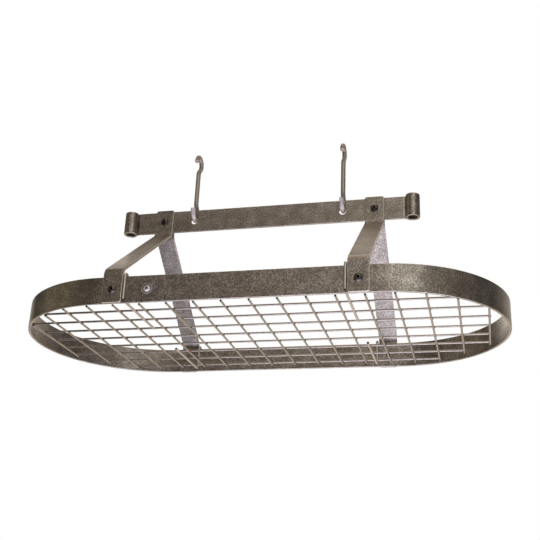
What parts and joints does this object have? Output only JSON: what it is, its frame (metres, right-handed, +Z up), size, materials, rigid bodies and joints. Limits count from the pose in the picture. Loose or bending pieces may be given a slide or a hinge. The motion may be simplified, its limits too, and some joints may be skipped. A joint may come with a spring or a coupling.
{
  "type": "hanging pot rack",
  "caption": "Oval hanging pot rack of flat steel bar with a lift-out wire grid, straps up to a top bar with rolled eyes, and ceiling hangers.",
  "frame": {"origin": "midway between the two hangers' upper hooks, at the height where they bear on the ceiling fixings; the rack hangs below it", "axes": "+X runs along the rack to its right, +Y from its front to its back, +Z up"},
  "size_m": [0.942, 0.4622, 0.4167],
  "materials": {
    "hammered_coat": "satin brown-grey hammered powder coat with pale flecks",
    "coated_wire": "satin warm grey coat",
    "hanger_rod": "satin brown-grey coat",
    "black_screws": "black oxide",
    "bright_screw": "bright zinc",
    "washer": "dull zinc"
  },
  "bodies": {
    "hangers": {"hanger_left": "hanger_rod", "hanger_right": "hanger_rod"},
    "rack": {"band": "hammered_coat", "top_bar": "hammered_coat", "strap_front_left": "hammered_coat", "strap_front_right": "hammered_coat", "strap_back_left": "hammered_coat", "strap_back_right": "hammered_coat", "strap_foot_screws": "black_screws", "strap_head_screws": "black_screws", "strap_head_nuts": "black_screws", "bright_screw": "bright_screw", "bright_screw_washer": "washer"},
    "grid": {"long_wire_1": "coated_wire", "long_wire_2": "coated_wire", "long_wire_3": "coated_wire", "long_wire_4": "coated_wire", "long_wire_5": "coated_wire", "long_wire_6": "coated_wire", "long_wire_7": "coated_wire", "long_wire_8": "coated_wire", "cross_wire_left_1": "coated_wire", "cross_wire_left_2": "coated_wire", "cross_wire_left_3": "coated_wire", "cross_wire_left_4": "coated_wire", "cross_wire_left_5": "coated_wire", "cross_wire_left_6": "coated_wire", "cross_wire_left_7": "coated_wire", "cross_wire_left_8": "coated_wire", "cross_wire_left_9": "coated_wire", "cross_wire_right_1": "coated_wire", "cross_wire_right_2": "coated_wire", "cross_wire_right_3": "coated_wire", "cross_wire_right_4": "coated_wire", "cross_wire_right_5": "coated_wire", "cross_wire_right_6": "coated_wire", "cross_wire_right_7": "coated_wire", "cross_wire_right_8": "coated_wire", "cross_wire_right_9": "coated_wire", "grid_hook_front_left": "coated_wire", "grid_hook_front_right": "coated_wire", "grid_hook_back_left": "coated_wire", "grid_hook_back_right": "coated_wire"}
  },
  "joints": [
    {"name": "rack_swing", "type": "hinge", "parent": "hangers", "child": "rack", "pos_m": [0, 0, -0.1295], "axis": [1, 0, 0], "range_deg": [-30, 30]},
    {"name": "grid_lift", "type": "slide", "parent": "rack", "child": "grid", "axis": [0, 0, 1], "range_m": [0, 0.05]}
  ]
}
